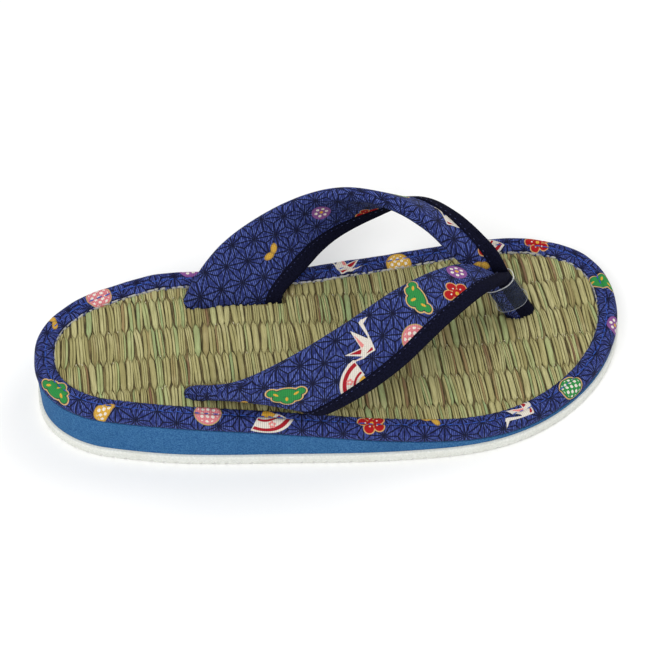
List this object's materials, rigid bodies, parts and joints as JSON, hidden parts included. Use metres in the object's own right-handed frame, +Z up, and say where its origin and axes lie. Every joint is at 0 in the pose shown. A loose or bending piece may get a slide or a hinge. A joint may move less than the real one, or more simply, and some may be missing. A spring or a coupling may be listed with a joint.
{
  "type": "zori sandal",
  "caption": "Zori sandal with a wedge foam sole, a rush mat footbed in a cloth covered rim, and two padded cloth straps that meet in a toe post with a clear sleeve.",
  "frame": {"origin": "middle of the underside of the whole sandal's bounding box, on the ground", "axes": "+X towards the toe, +Y towards the big toe side of this right sandal, +Z up"},
  "size_m": [0.2482, 0.1076, 0.0617],
  "materials": {
    "outsole_foam": "white moulded foam rubber, matte",
    "midsole_foam": "blue sponge foam, cut and buffed, matte",
    "printed_cloth": "dobby cotton printed with a hemp leaf ground",
    "rush": "woven rush stems, satin",
    "navy_tape": "smooth navy binding tape, matte",
    "clear_vinyl": "clear soft vinyl tube, glossy"
  },
  "bodies": {
    "root": {"outsole": "outsole_foam", "midsole": "midsole_foam", "rim": "printed_cloth", "rush_mat": "rush", "strap": "printed_cloth", "binding_outer": "navy_tape", "binding_inner": "navy_tape", "post_sleeve": "clear_vinyl"}
  },
  "joints": []
}
